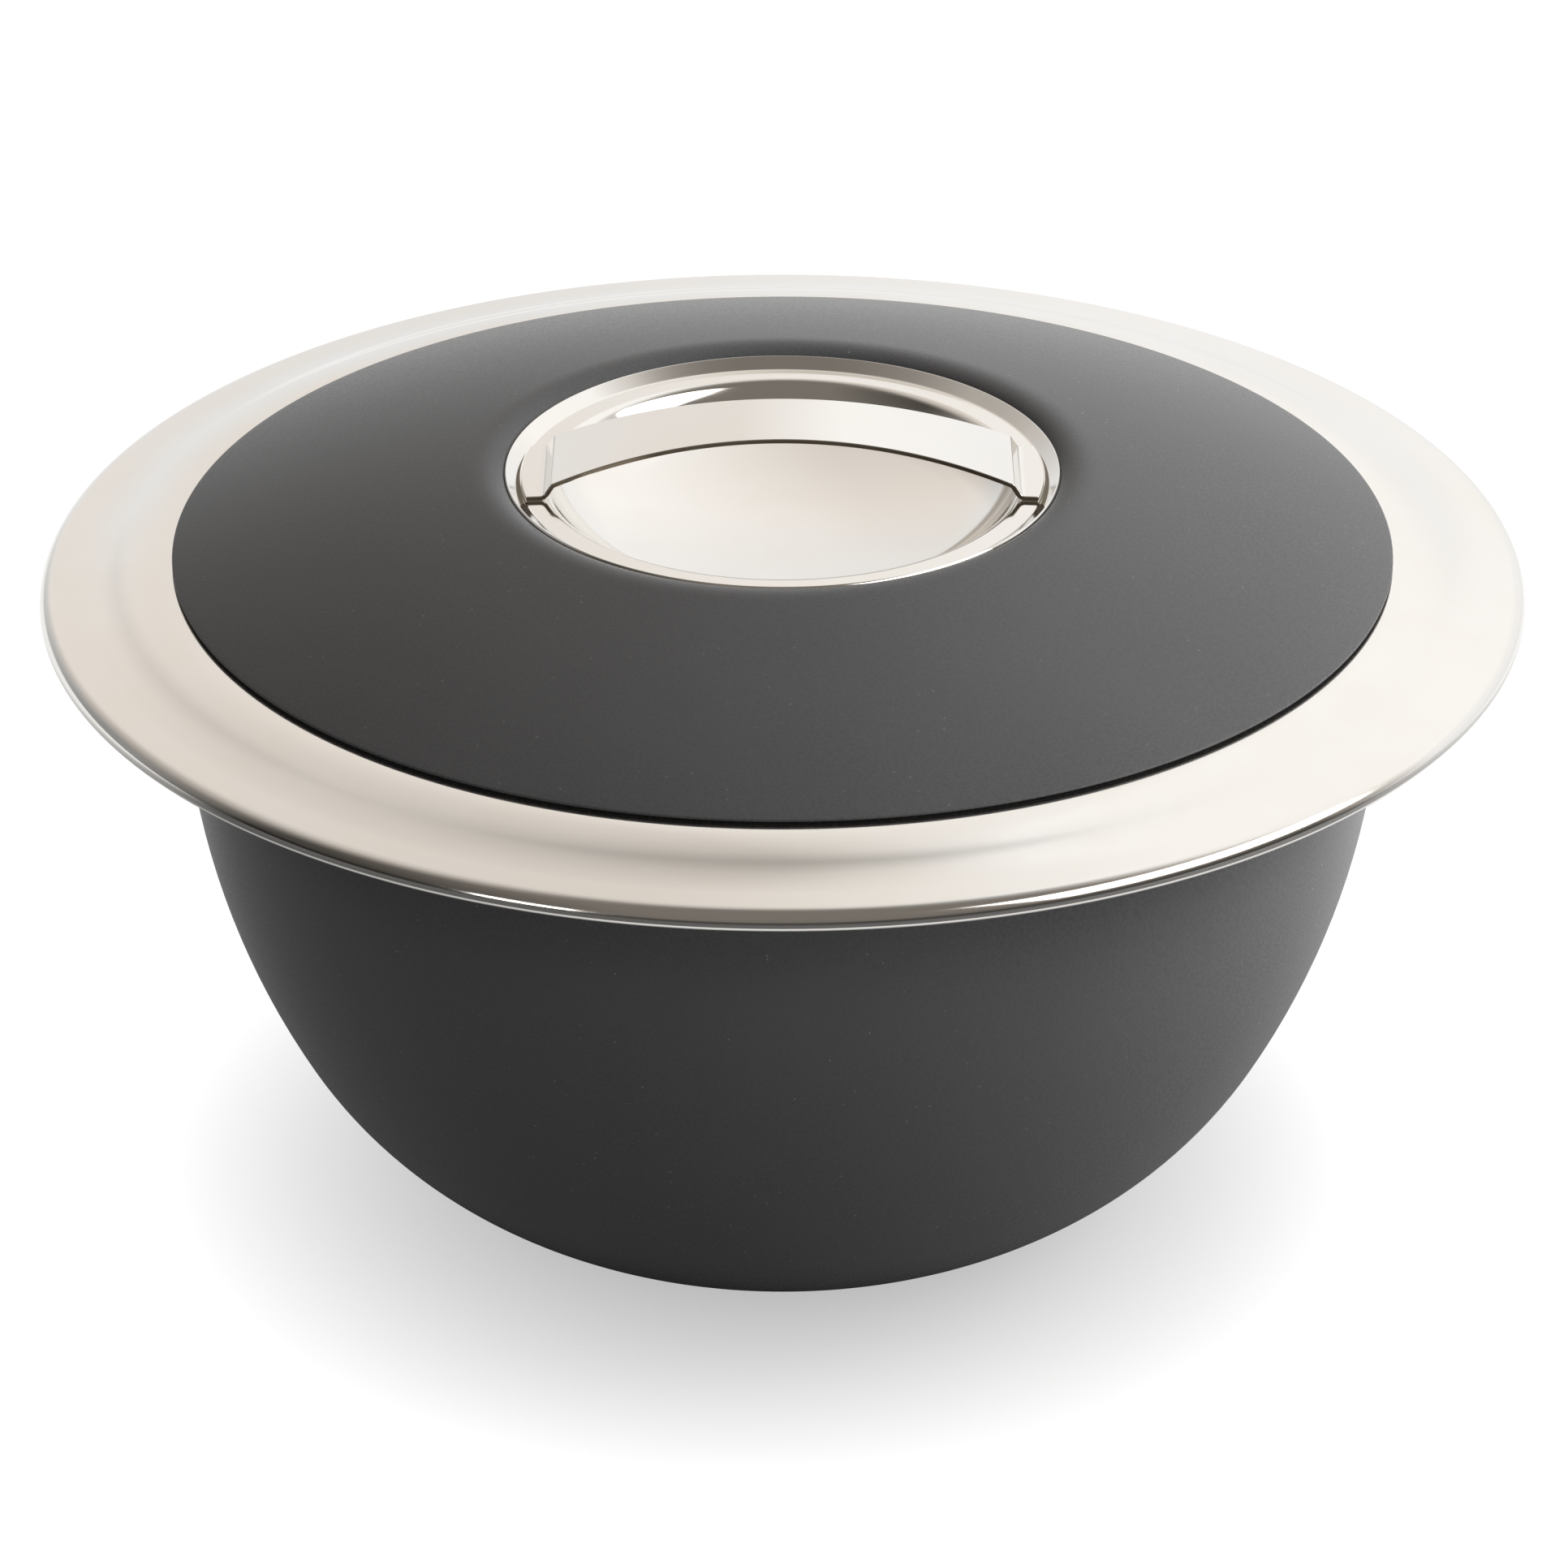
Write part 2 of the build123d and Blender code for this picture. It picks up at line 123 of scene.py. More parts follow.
def sheetOutline(stations, sheet, edge=0.1, side=1):
    # side 1 thickens to the right of the way that the outline runs, -1 to its left
    turned = [(r, z, nr * side, nz * side) for r, z, nr, nz in stations]
    near = [s[:2] for s in turned]
    far = [(r + nr * sheet, z + nz * sheet) for r, z, nr, nz in turned]
    last, first = turned[-1], turned[0]
    outline = near[:-1] + roundedEnd(last, (-last[3] * side, last[2] * side), sheet, edge) + far[-2:0:-1]
    if near[0][0] < 1e-6:
        return outline + [far[0]]
    start = roundedEnd(first, (first[3] * side, -first[2] * side), sheet, edge)
    return outline[1:] + start[::-1]


def spinPiece(name, outline, turns=240, sharp=35):
    area = sum(a[0] * b[1] - b[0] * a[1] for a, b in zip(outline, outline[1:] + outline[:1]))
    if area < 0:
        outline = outline[::-1]
    vertices, rings, faces = [], [], []
    for r, z in outline:
        count = 1 if r < 1e-6 else turns
        rings.append((len(vertices), count))
        for j in range(count):
            a = 360 * j / turns
            vertices.append((r * cosDeg(a) * mm, r * sinDeg(a) * mm, z * mm))
    for (low, lowCount), (high, highCount) in zip(rings, rings[1:] + rings[:1]):
        if lowCount == 1 and highCount == 1:
            continue
        for j in range(turns):
            k = (j + 1) % turns
            if lowCount == 1:
                faces.append((low, high + k, high + j))
            elif highCount == 1:
                faces.append((low + j, low + k, high))
            else:
                faces.append((low + j, low + k, high + k, high + j))
    return meshPiece(name, vertices, faces, sharp)


def meshPiece(name, vertices, faces, sharp):
    mesh = bpy.data.meshes.new(name)
    mesh.from_pydata(vertices, [], faces)
    mesh.validate()
    mesh.shade_smooth()
    mesh.set_sharp_from_angle(angle=math.radians(sharp))
    piece = bpy.data.objects.new(name, mesh)
    bpy.context.scene.collection.objects.link(piece)
    return piece


def settle(piece, node, body, material):
    piece.data.materials.clear()
    piece.data.materials.append(material)
    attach(piece, body)
    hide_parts(node)
    print("piece", piece.name, "stands for", node)


# Node helpers for the finishes
noiseSpan = (0.3, 0.7)  # where most of a noise lies


def startMaterial(name):
    material = bpy.data.materials.new(name)
    material.use_nodes = True
    return material, material.node_tree, material.node_tree.nodes["Principled BSDF"]


def addNode(tree, kind, inputs=None, **settings):
    node = tree.nodes.new(kind)
    for key, value in settings.items():
        setattr(node, key, value)
    for key, value in (inputs or {}).items():
        if isinstance(value, bpy.types.NodeSocket):
            tree.links.new(value, node.inputs[key])
        else:
            node.inputs[key].default_value = value
    return node


def noise(tree, vector, scale, detail=2.0, roughness=0.5):
    values = {"Vector": vector, "Scale": scale, "Detail": detail, "Roughness": roughness}
    return addNode(tree, "ShaderNodeTexNoise", values).outputs["Fac"]


def spread(tree, value, low, high, toLow, toHigh):
    values = {"Value": value, "From Min": low, "From Max": high, "To Min": toLow, "To Max": toHigh}
    return addNode(tree, "ShaderNodeMapRange", values).outputs["Result"]


def math2(tree, operation, a, b):
    return addNode(tree, "ShaderNodeMath", {0: a, 1: b}, operation=operation).outputs[0]


def mixColour(tree, factor, a, b):
    node = addNode(tree, "ShaderNodeMix", data_type="RGBA")
    tree.links.new(factor, node.inputs[0])
    for socket, value in ((node.inputs[6], a), (node.inputs[7], b)):
        if isinstance(value, bpy.types.NodeSocket):
            tree.links.new(value, socket)
        else:
            socket.default_value = (*value, 1)
    return node.outputs[2]


def bump(tree, height, depth, under=None):
    values = {"Height": height, "Distance": depth, "Strength": 1.0}
    if under is not None:
        values["Normal"] = under
    return addNode(tree, "ShaderNodeBump", values).outputs["Normal"]


def axisRadius(tree, point):
    flat = addNode(tree, "ShaderNodeVectorMath", {0: point, 1: (1, 1, 0)}, operation="MULTIPLY").outputs[0]
    return addNode(tree, "ShaderNodeVectorMath", {0: flat}, operation="LENGTH").outputs["Value"]


def cutEdges(tree, upright):
    # 1 on the upright faces of a bent sheet, its cut edges
    normal = addNode(tree, "ShaderNodeTexCoord").outputs["Normal"]
    rise = addNode(tree, "ShaderNodeSeparateXYZ", {0: normal}).outputs["Z"]
    return spread(tree, math2(tree, "MULTIPLY", rise, rise), *upright, 1.0, 0.0)


def polishedSteel(name, look):
    material, tree, shader = startMaterial(name)
    point = addNode(tree, "ShaderNodeTexCoord").outputs["Object"]
    place = addNode(tree, "ShaderNodeSeparateXYZ", {0: point})
    turned = math2(tree, "ADD", axisRadius(tree, point), place.outputs["Z"])
    lines = addNode(tree, "ShaderNodeTexNoise", {"W": turned, "Scale": look["lineScale"], "Detail": 3.0},
                    noise_dimensions="1D").outputs["Fac"]
    broad = noise(tree, point, look["waveScale"], detail=1.0)
    smudge = noise(tree, point, look["smudgeScale"], detail=3.0, roughness=0.6)
    shader.inputs["Metallic"].default_value = 1.0
    tint = spread(tree, smudge, *noiseSpan, 0, 1)
    colour = mixColour(tree, tint, look["colour"], look["warmColour"])
    marks = math2(tree, "ADD", math2(tree, "MULTIPLY", lines, look["lineShare"]), smudge)
    rough = spread(tree, marks, *look["markSpan"], *look["roughness"])
    # upright cut edges get a darker, rougher finish; the dark colour is partly painted shade for the gaps
    # at the strap's feet and along its edge
    if "cutShadeColour" in look:
        cut = cutEdges(tree, look["cutUpright"])
        colour = mixColour(tree, cut, colour, look["cutShadeColour"])
        rough = math2(tree, "MAXIMUM", rough, math2(tree, "MULTIPLY", cut, look["cutRoughness"]))
    tree.links.new(colour, shader.inputs["Base Color"])
    tree.links.new(rough, shader.inputs["Roughness"])
    waves = bump(tree, broad, look["waveDepth"])
    tree.links.new(bump(tree, lines, look["lineDepth"], under=waves), shader.inputs["Normal"])
    return material


def charcoalCoat(name, look):
    material, tree, shader = startMaterial(name)
    point = addNode(tree, "ShaderNodeTexCoord").outputs["Object"]
    cloud = noise(tree, point, look["cloudScale"])
    grain = noise(tree, point, look["grainScale"], roughness=0.6)
    cells = addNode(tree, "ShaderNodeTexVoronoi", {"Vector": point, "Scale": look["speckScale"]})
    lone = addNode(tree, "ShaderNodeSeparateColor", {0: cells.outputs["Color"]}).outputs[0]
    near = math2(tree, "LESS_THAN", cells.outputs["Distance"], look["speckSize"])
    speck = math2(tree, "MULTIPLY", near, math2(tree, "GREATER_THAN", lone, 1 - look["speckShare"]))
    base = mixColour(tree, spread(tree, cloud, *noiseSpan, 0, 1), look["colour"], look["paleColour"])
    mottle = spread(tree, grain, *look["grainSpan"], 0, look["grainShare"])
    mottled = mixColour(tree, mottle, base, look["grainColour"])
    tree.links.new(mixColour(tree, speck, mottled, look["speckColour"]), shader.inputs["Base Color"])
    rough = spread(tree, grain, *noiseSpan, *look["roughness"])
    tree.links.new(rough, shader.inputs["Roughness"])
    tree.links.new(bump(tree, grain, look["grainDepth"]), shader.inputs["Normal"])
    shader.inputs["IOR"].default_value = look["bending"]
    return material


def plainGrain(name, look):
    # moulded rubber, plastic, foam and plated parts: a grain in colour, gloss and relief
    material, tree, shader = startMaterial(name)
    point = addNode(tree, "ShaderNodeTexCoord").outputs["Object"]
    grain = noise(tree, point, look["grainScale"], detail=3.0, roughness=0.6)
    shade = spread(tree, grain, *noiseSpan, 0, 1)
    tree.links.new(mixColour(tree, shade, look["colour"], look["otherColour"]), shader.inputs["Base Color"])
    rough = spread(tree, grain, *noiseSpan, *look["roughness"])
    tree.links.new(rough, shader.inputs["Roughness"])
    tree.links.new(bump(tree, grain, look["grainDepth"]), shader.inputs["Normal"])
    shader.inputs["Metallic"].default_value = look.get("metallic", 0.0)
    return material


steelLook = {
    "colour": (0.87, 0.855, 0.83),
    "warmColour": (0.86, 0.835, 0.795),
    "roughness": (0.07, 0.16),
    "lineScale": 2600.0,
    "lineShare": 0.35,
    "lineDepth": 0.0000006,
    "markSpan": (0.3, 1.0),
    "waveScale": 28.0,
    "waveDepth": 0.00002,
    "smudgeScale": 45.0,
}
coatLook = {
    "colour": (0.041, 0.0415, 0.043),
    "paleColour": (0.047, 0.0475, 0.049),
    "grainColour": (0.056, 0.0565, 0.058),
    "speckColour": (0.13, 0.13, 0.128),
    "speckScale": 420.0,
    "speckSize": 0.075,
    "speckShare": 0.35,
    "cloudScale": 14.0,
    "grainScale": 1500.0,
    "grainSpan": (0.35, 0.75),
    "grainShare": 0.5,
    "grainDepth": 0.00001,
    "roughness": (0.23, 0.32),
    "bending": 1.26,
}
flangeSteel = polishedSteel("flangeSteel", steelLook)
dishLook = {**steelLook, "roughness": (0.05, 0.12), "waveDepth": 0.00004}
# cut edges of the strap: rougher, and dark partly as painted shade for the gaps at its feet and along its
# edge
cutLook = {"cutShadeColour": (0.20, 0.168, 0.128), "cutRoughness": 0.42, "cutUpright": (0.03, 0.12)}
dishSteel = polishedSteel("dishSteel", dishLook)
strapSteel = polishedSteel("strapSteel", {**dishLook, **cutLook})
shellCoat = charcoalCoat("shellCoat", coatLook)
coverCoat = charcoalCoat("coverCoat", coatLook)
blackRubber = plainGrain("blackRubber", {
    "colour": (0.012, 0.012, 0.012), "otherColour": (0.02, 0.02, 0.02),
    "roughness": (0.45, 0.6), "grainScale": 900.0, "grainDepth": 0.00003,
})
blackPlastic = plainGrain("blackPlastic", {
    "colour": (0.022, 0.022, 0.023), "otherColour": (0.03, 0.03, 0.03),
    "roughness": (0.35, 0.5), "grainScale": 1200.0, "grainDepth": 0.00004,
})
rigidFoam = plainGrain("rigidFoam", {
    "colour": (0.80, 0.72, 0.50), "otherColour": (0.87, 0.80, 0.60),
    "roughness": (0.8, 0.95), "grainScale": 600.0, "grainDepth": 0.0004,
})
platedSteel = plainGrain("platedSteel", {
    "colour": (0.60, 0.60, 0.62), "otherColour": (0.68, 0.67, 0.64),
    "roughness": (0.22, 0.38), "grainScale": 350.0, "grainDepth": 0.00001, "metallic": 1.0,
})
print("finishes made")

# Polished bowl with its swaged flange and rolled edge, mm
bowlSheet = {
    "sheet": 0.8,
    "floorHeight": 13.5,
    "floorCorner": 60.0,
    "floorFlat": 42.713,
    "joinAngle": 28.165,
    "sideArc": 151.1,
    "sideCentre": (-37.6, 116.5),
    "mouthRadius": 113.5,
    "mouthEdge": 3.0,
    "seatHeight": 142.5,
    "seatRadius": 124.6,
    "swageRun": 0.437,  # shares of the way from the seat to the roll
    "easeRun": 0.37,
    "swageAngle": 20.1,
    "brimSlope": 5.0,
    "rimRadius": 150.0,
    "rollRadius": 3.0,
    "curlRadius": 1.1,
    "curlAngle": 150.0,
}


def flangeRuns(b):
    steep, shallow, roll = b["swageAngle"], b["brimSlope"], b["rollRadius"]
    rollStart = b["rimRadius"] - roll * (1 - sinDeg(shallow))
    brim = rollStart - b["seatRadius"]
    swageBend = b["swageRun"] * brim / sinDeg(steep)
    easeBend = b["easeRun"] * brim / (sinDeg(steep) - sinDeg(shallow))
    swage = arcRun(b["seatRadius"], b["seatHeight"] - swageBend, swageBend, 90, -steep, step=0.6)
    r, z, nr, nz = swage[-1]
    ease = arcRun(r - nr * easeBend, z - nz * easeBend, easeBend, 270 - steep, steep - shallow, step=0.6)
    r, z = ease[-1][:2]
    rollHeight = z - (rollStart - r) * tanDeg(shallow)
    rimHeight = rollHeight - roll * cosDeg(shallow)
    return [
        swage,
        ease,
        lineRun((r, z), (rollStart, rollHeight)),
        arcRun(b["rimRadius"] - roll, rimHeight, roll, 90 - shallow, shallow - 90, step=4),
        arcRun(b["rimRadius"] - b["curlRadius"], rimHeight, b["curlRadius"], 0, -b["curlAngle"], step=8),
    ]


def makeBowl(b):
    corner = b["floorHeight"] + b["floorCorner"]
    mouthTop = b["seatHeight"] - b["mouthEdge"]
    stations = joinRuns(
        lineRun((0, b["floorHeight"]), (b["floorFlat"], b["floorHeight"])),
        arcRun(b["floorFlat"], corner, b["floorCorner"], -90, 90 - b["joinAngle"]),
        arcRun(*b["sideCentre"], b["sideArc"], -b["joinAngle"], b["joinAngle"], step=1.5),
        lineRun((b["mouthRadius"], b["sideCentre"][1]), (b["mouthRadius"], mouthTop)),
        arcRun(b["mouthRadius"] + b["mouthEdge"], mouthTop, b["mouthEdge"], 180, -90, step=6),
        lineRun((b["mouthRadius"] + b["mouthEdge"], b["seatHeight"]), (b["seatRadius"], b["seatHeight"])),
        *flangeRuns(b),
    )
    return spinPiece("bowlWithFlange", sheetOutline(stations, b["sheet"]))


settle(makeBowl(bowlSheet), "inner_bowl", "bowl", flangeSteel)

# Coated shell that stands on a flat ring, mm
shellSheet = {
    "sheet": 0.8,
    "holeRadius": 6.0,
    "recessDepth": 2.5,
    "recessRadius": 42.4,
    "baseRadius": 52.4,
    "baseCorner": 1.5,
    "lowerArc": 84.002,
    "upperArc": 160.0,
    "upperCentre": (-37.6, 116.5),
    "arcJoin": 28.0,
    "radius": 122.4,
    "top": 140.5,
}


def makeShell(s):
    reach = s["upperArc"] - s["lowerArc"]
    lowerCentre = (s["upperCentre"][0] + reach * cosDeg(s["arcJoin"]),
                   s["upperCentre"][1] - reach * sinDeg(s["arcJoin"]))
    start = math.degrees(math.acos((s["baseRadius"] - lowerCentre[0]) / s["lowerArc"]))
    # the recess under the base has an edge that slopes by 45 degrees
    cut = s["baseCorner"] * tanDeg(22.5)
    inner = s["recessRadius"] - s["recessDepth"]
    slope = 0.5 ** 0.5
    stations = joinRuns(
        lineRun((s["holeRadius"], s["recessDepth"]), (inner - cut, s["recessDepth"])),
        arcRun(inner - cut, s["recessDepth"] - s["baseCorner"], s["baseCorner"], 90, -45, step=9),
        lineRun((inner + cut * slope, s["recessDepth"] - cut * slope),
                (s["recessRadius"] - cut * slope, cut * slope)),
        arcRun(s["recessRadius"] + cut, s["baseCorner"], s["baseCorner"], 225, 45, step=9),
        lineRun((s["recessRadius"] + cut, 0), (s["baseRadius"], 0)),
        arcRun(*lowerCentre, s["lowerArc"], -start, start - s["arcJoin"], step=1.5),
        arcRun(*s["upperCentre"], s["upperArc"], -s["arcJoin"], s["arcJoin"], step=1.5),
        lineRun((s["radius"], s["upperCentre"][1]), (s["radius"], s["top"])),
    )
    return spinPiece("coatedShell", sheetOutline(stations, s["sheet"], side=-1), sharp=10)


settle(makeShell(shellSheet), "outer_shell", "bowl", shellCoat)

# U-section seal under the flange, and the plug of the filling hole, mm
rimSeal = {"inner": 120.8, "outer": 123.2, "leg": 0.7, "bottom": 136.5, "shelf": 140.5,
           "top": 141.7, "edge": 0.2}
basePlug = {"shank": 5.8, "head": 9.0, "headBottom": 1.3, "seat": 2.5, "barb": 6.7, "barbBottom": 3.5,
            "tip": 5.1, "top": 5.5, "edge": 0.6}


def makeRimSeal(s):
    e = s["edge"]
    outline = [
        (s["inner"], s["bottom"]), (s["inner"] + s["leg"], s["bottom"]),
        (s["inner"] + s["leg"], s["shelf"]),
        (s["outer"] - s["leg"], s["shelf"]), (s["outer"] - s["leg"], s["bottom"]),
        (s["outer"] - e, s["bottom"]), (s["outer"], s["bottom"] + e), (s["outer"], s["top"] - e),
        (s["outer"] - e, s["top"]), (s["inner"], s["top"]),
    ]
    return spinPiece("rimSeal", outline)


def makeBasePlug(p):
    head = [(p["head"] - p["edge"] + p["edge"] * sinDeg(a), p["headBottom"] + p["edge"] * (1 - cosDeg(a)))
            for a in range(0, 91, 15)]
    outline = [(0, p["headBottom"]), (p["head"] / 2, p["headBottom"])] + head + [
        (p["head"], p["seat"]), (p["shank"], p["seat"]), (p["shank"], p["barbBottom"]),
        (p["barb"], p["barbBottom"]), (p["tip"], p["top"]), (0, p["top"]),
    ]
    return spinPiece("fillingPlug", outline, turns=96)


settle(makeRimSeal(rimSeal), "rim_gasket", "bowl", blackRubber)
settle(makeBasePlug(basePlug), "base_plug", "bowl", blackPlastic)

# Domed lid cover with a thin folded edge that stands just over the flange, mm
coverSheet = {
    "sheet": 0.28,  # thinner than the solid's, so that the tight edge can fold
    "holeRadius": 54.5,
    "landRadius": 56.361,
    "landSlope": 37.0,
    "shoulder": 7.0,  # the solid's bend, which sets the land's height
    "shoulderFit": {"steps": 30, "firstTurn": 10.0, "rounds": 6, "lengths": (4.0, 30.0), "halvings": 50},
    "domeRadius": 362.6,
    "edgeRadius": 0.3,
    "edgeHeight": 143.3105,
    "lidRadius": 123.2,
    "hemHeight": 142.5,
    "hemRise": 1.7,
    "hemWidth": 5.0,
}


def easedShoulder(land, slope, domeRadius, domeCentre, fit):
    # a bend that is tight at the land and opens out until it lies on the dome
    def bendOver(length):
        turn, steps = fit["firstTurn"], fit["steps"]
        step = length / steps
        angle = lambda part: slope - (slope + turn) * (2 * part - part * part)
        for again in range(fit["rounds"]):
            r, z = land
            stations = [(r, z, sinDeg(slope), -cosDeg(slope))]
            for i in range(steps):
                middle, end = angle((i + 0.5) / steps), angle((i + 1) / steps)
                r += cosDeg(middle) * step
                z += sinDeg(middle) * step
                stations.append((r, z, sinDeg(end), -cosDeg(end)))
            turn = math.degrees(math.asin(r / domeRadius))
        return stations, turn, math.hypot(r, z - domeCentre) - domeRadius

    low, high = fit["lengths"]
    for again in range(fit["halvings"]):
        middle = (low + high) / 2
        if bendOver(middle)[2] < 0:
            low = middle
        else:
            high = middle
    return bendOver(low)[:2]


def makeCover(c):
    edge = (c["lidRadius"] - c["edgeRadius"], c["edgeHeight"])
    reach = c["domeRadius"] - c["edgeRadius"]
    domeAngle = math.degrees(math.asin(edge[0] / reach))
    domeCentre = edge[1] - reach * cosDeg(domeAngle)
    bend, slope = c["shoulder"], c["landSlope"]
    turn = math.degrees(math.asin((c["landRadius"] + bend * sinDeg(slope)) / (c["domeRadius"] - bend)))
    bendHeight = domeCentre + (c["domeRadius"] - bend) * cosDeg(turn)
    land = (c["landRadius"], bendHeight + bend * cosDeg(slope))
    hole = (c["holeRadius"], land[1] - (c["landRadius"] - c["holeRadius"]) * tanDeg(slope))
    foldEnd = (edge[0], edge[1] - c["edgeRadius"])
    hemStart = (edge[0] - c["hemRise"], c["hemHeight"])
    hemEnd = (edge[0] - c["hemWidth"], c["hemHeight"])
    eased, turn = easedShoulder(land, slope, c["domeRadius"], domeCentre, c["shoulderFit"])
    stations = joinRuns(
        lineRun(hole, land, margin=0.3, count=2),
        eased,
        arcRun(0, domeCentre, c["domeRadius"], 90 - turn, turn - domeAngle, step=0.3),
        arcRun(*edge, c["edgeRadius"], 90 - domeAngle, domeAngle - 180, step=8),
        lineRun(foldEnd, hemStart, margin=0.2, count=3),
        lineRun(hemStart, hemEnd),
    )
    return spinPiece("domedCover", sheetOutline(stations, c["sheet"]))


settle(makeCover(coverSheet), "lid_cover", "lid", coverCoat)

# Liner pan under the lid, mm
linerSheet = {
    "sheet": 0.6,
    "bottom": 129.2,
    "radius": 112.4,
    "corner": 5.0,
    "bend": 1.0,
    "rest": 143.0,
    "rim": 120.6,
}


def makeLiner(p):
    stations = joinRuns(
        lineRun((0, p["bottom"]), (p["radius"] - p["corner"], p["bottom"])),
        arcRun(p["radius"] - p["corner"], p["bottom"] + p["corner"], p["corner"], -90, 90, step=5),
        lineRun((p["radius"], p["bottom"] + p["corner"]), (p["radius"], p["rest"] - p["bend"])),
        arcRun(p["radius"] + p["bend"], p["rest"] - p["bend"], p["bend"], 180, -90, step=9),
        lineRun((p["radius"] + p["bend"], p["rest"]), (p["rim"], p["rest"])),
    )
    return spinPiece("linerPan", sheetOutline(stations, p["sheet"], side=-1))


settle(makeLiner(linerSheet), "lid_liner", "lid", flangeSteel)

# Polished finger dish: crowned floor, steep wall, ledge and sloped lip, mm
dishSheet = {
    "sheet": 0.6,
    "radius": 55.7,
    "lipHeight": 158.802,
    "lipSlope": 37.0,
    "ledgeDrop": 2.05,
    "ledgeWidth": 5.25,
    "ledgeBend": 0.8,
    "mouthBend": 2.0,
    "wallSlope": 55.0,
    "wallRun": 0.5,
    "corner": 17.0,
    "floorRadius": 240.0,
}


def makeDish(d):
    steep, slope = d["wallSlope"], d["lipSlope"]
    bend, mouthBend = d["ledgeBend"], d["mouthBend"]
    ledge = d["lipHeight"] - d["ledgeDrop"]
    ledgeOut = d["radius"] - d["ledgeDrop"] / tanDeg(slope)
    mouth = ledgeOut - d["ledgeWidth"]
    mouthCut = mouthBend * tanDeg(steep / 2)
    ledgeCut = bend * tanDeg(slope / 2)
    wall = d["wallRun"] + mouthCut
    foot = (mouth - wall * cosDeg(steep), ledge - wall * sinDeg(steep))
    wallTop = (mouth - mouthCut * cosDeg(steep), ledge - mouthCut * sinDeg(steep))
    lipFoot = (ledgeOut + ledgeCut * cosDeg(slope), ledge + ledgeCut * sinDeg(slope))
    cornerCentre = (foot[0] - d["corner"] * sinDeg(steep), foot[1] + d["corner"] * cosDeg(steep))
    reach = d["floorRadius"] - d["corner"]
    floorAngle = math.degrees(math.asin(cornerCentre[0] / reach))
    floorCentre = cornerCentre[1] + reach * cosDeg(floorAngle)
    stations = joinRuns(
        arcRun(0, floorCentre, d["floorRadius"], -90, floorAngle, step=0.8),
        arcRun(*cornerCentre, d["corner"], floorAngle - 90, steep - floorAngle, step=2),
        lineRun(foot, wallTop, margin=0.2, count=2),
        arcRun(mouth + mouthCut, ledge - mouthBend, mouthBend, 90 + steep, -steep, step=4),
        lineRun((mouth + mouthCut, ledge), (ledgeOut - ledgeCut, ledge), margin=0.3, count=3),
        arcRun(ledgeOut - ledgeCut, ledge + bend, bend, -90, slope, step=5),
        lineRun(lipFoot, (d["radius"], d["lipHeight"]), margin=0.3, count=3),
    )
    return spinPiece("fingerDish", sheetOutline(stations, d["sheet"], edge=0.12))


settle(makeDish(dishSheet), "handle_dish", "lid", dishSteel)

# Bent strap with a waist, its feet cut to the ledge's round, mm
strapSheet = {
    "sheet": 1.0,
    "top": 169.282,
    "archRadius": 123.052,
    "archAngle": 21.9,
    "dropAngle": 57.0,
    "dropLength": 1.96,
    "bend": 1.2,
    "middleWidth": 20.0,
    "endWidth": 24.8,
    "footRadius": 52.612,
    "footRows": (0.15, 0.5, 0.85, 1.0),
    "columns": 14,
    "sharpAngle": 40,
    "easedEdge": 0.22,
    "easedSteps": 3,
    "easedAngle": 50,
}


def strapRuns(s):
    arch = arcRun(0, s["top"] - s["archRadius"], s["archRadius"], 90, -s["archAngle"], step=0.8)
    r, z, nr, nz = arch[-1]
    bend = s["bend"]
    turn = s["archAngle"] - s["dropAngle"]
    shoulder = arcRun(r + nr * bend, z + nz * bend, bend, 90 - s["archAngle"], turn, step=4)
    r, z, nr, nz = shoulder[-1]
    foot = (r + cosDeg(s["dropAngle"]) * s["dropLength"], z - sinDeg(s["dropAngle"]) * s["dropLength"])
    drop = lineRun((r, z), foot, margin=0.2, count=3)
    heel = arcRun(foot[0] - nr * bend, foot[1] - nz * bend, bend,
                  270 - s["dropAngle"], s["dropAngle"], step=5)
    return joinRuns(arch, shoulder, drop, heel)


